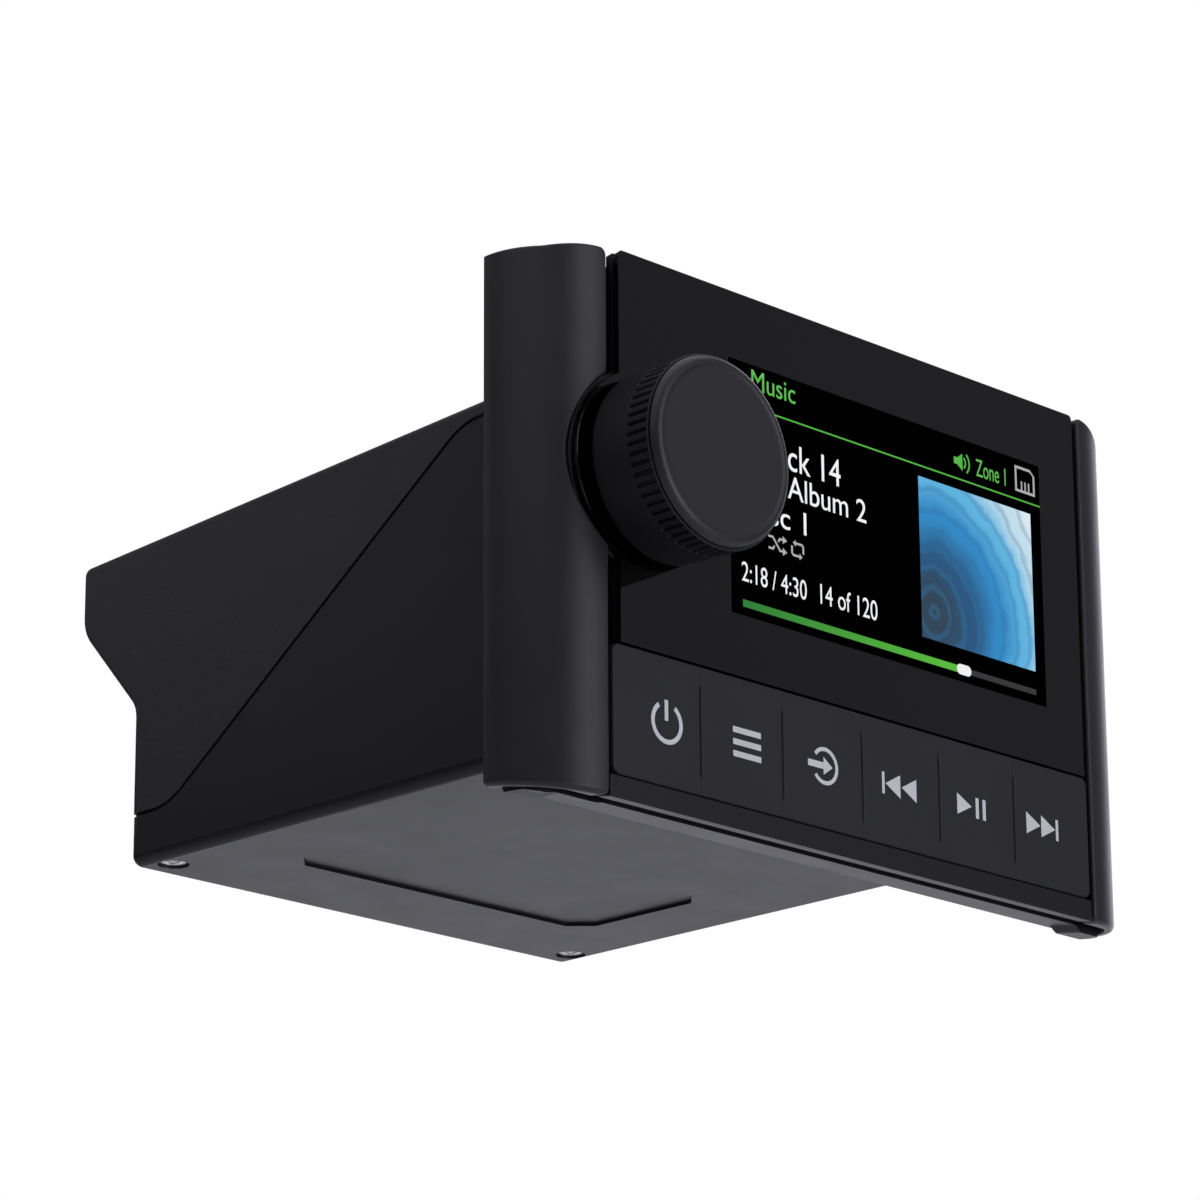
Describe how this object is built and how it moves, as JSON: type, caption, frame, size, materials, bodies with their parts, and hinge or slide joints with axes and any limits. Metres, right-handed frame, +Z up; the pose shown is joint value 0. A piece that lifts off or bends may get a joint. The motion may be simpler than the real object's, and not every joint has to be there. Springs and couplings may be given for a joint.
{
  "type": "marine stereo",
  "caption": "Flush-mount boat stereo with colour display, press-and-turn knob, key strip, side trims over the dash screws and rear sockets under a hood.",
  "frame": {"origin": "centre of the four dash screws, on the plane where the flange meets the dash", "axes": "+Z up, the front faces -Y, +X to the right seen from the front"},
  "size_m": [0.1302, 0.1381, 0.082],
  "materials": {
    "satin_black": "fine satin moulded",
    "housing_black": "fine powder coat",
    "gloss_black": "polished",
    "key_rubber": "matte",
    "knob_black": "matte",
    "seal_rubber": "matte",
    "board_green": "solder mask",
    "steel": "plain",
    "aluminium": "extruded",
    "socket_black": "moulded",
    "display": "display face",
    "flex_film": "film"
  },
  "bodies": {
    "stereo": {"front_fascia": "satin_black", "left_trim": "satin_black", "right_trim": "satin_black", "mount_frame": "satin_black", "lower_shell": "housing_black", "upper_cover": "housing_black", "display_glass": "gloss_black", "key_membrane": "key_rubber", "dash_gasket": "seal_rubber", "housing_seal": "seal_rubber", "shaft_seal": "seal_rubber", "front_board": "board_green", "main_board": "board_green", "board_screws": "steel", "flange_screws": "steel", "housing_screws": "steel", "encoder_nut": "steel", "encoder_body": "steel", "lcd_bracket": "steel", "heat_sink": "aluminium", "power_socket": "socket_black", "audio_socket": "socket_black", "network_socket": "socket_black", "data_socket": "socket_black", "antenna_socket": "socket_black", "amplifier_chip": "socket_black", "tact_switches": "socket_black", "lcd_module": "display", "flex_cable": "flex_film"},
    "knob_press": {"encoder_plunger": "socket_black"},
    "knob": {"encoder_shaft": "steel", "knob_ring": "knob_black", "knob_cap": "knob_black"},
    "power_key": {"power_key": "key_rubber"},
    "menu_key": {"menu_key": "key_rubber"},
    "source_key": {"source_key": "key_rubber"},
    "previous_key": {"previous_key": "key_rubber"},
    "play_key": {"play_key": "key_rubber"},
    "next_key": {"next_key": "key_rubber"}
  },
  "joints": [
    {"name": "knob_push", "type": "slide", "parent": "stereo", "child": "knob_press", "axis": [0, 1, 0], "range_m": [0, 0.0008], "stiffness_N_per_m": 1500},
    {"name": "knob_turn", "type": "hinge", "parent": "knob_press", "child": "knob", "pos_m": [-0.0435, -0.0156, 0.0085], "axis": [0, -1, 0], "continuous": true},
    {"name": "power_push", "type": "slide", "parent": "stereo", "child": "power_key", "axis": [0, 1, 0], "range_m": [0, 0.0006], "stiffness_N_per_m": 1500},
    {"name": "menu_push", "type": "slide", "parent": "stereo", "child": "menu_key", "axis": [0, 1, 0], "range_m": [0, 0.0006], "stiffness_N_per_m": 1500},
    {"name": "source_push", "type": "slide", "parent": "stereo", "child": "source_key", "axis": [0, 1, 0], "range_m": [0, 0.0006], "stiffness_N_per_m": 1500},
    {"name": "previous_push", "type": "slide", "parent": "stereo", "child": "previous_key", "axis": [0, 1, 0], "range_m": [0, 0.0006], "stiffness_N_per_m": 1500},
    {"name": "play_push", "type": "slide", "parent": "stereo", "child": "play_key", "axis": [0, 1, 0], "range_m": [0, 0.0006], "stiffness_N_per_m": 1500},
    {"name": "next_push", "type": "slide", "parent": "stereo", "child": "next_key", "axis": [0, 1, 0], "range_m": [0, 0.0006], "stiffness_N_per_m": 1500}
  ]
}
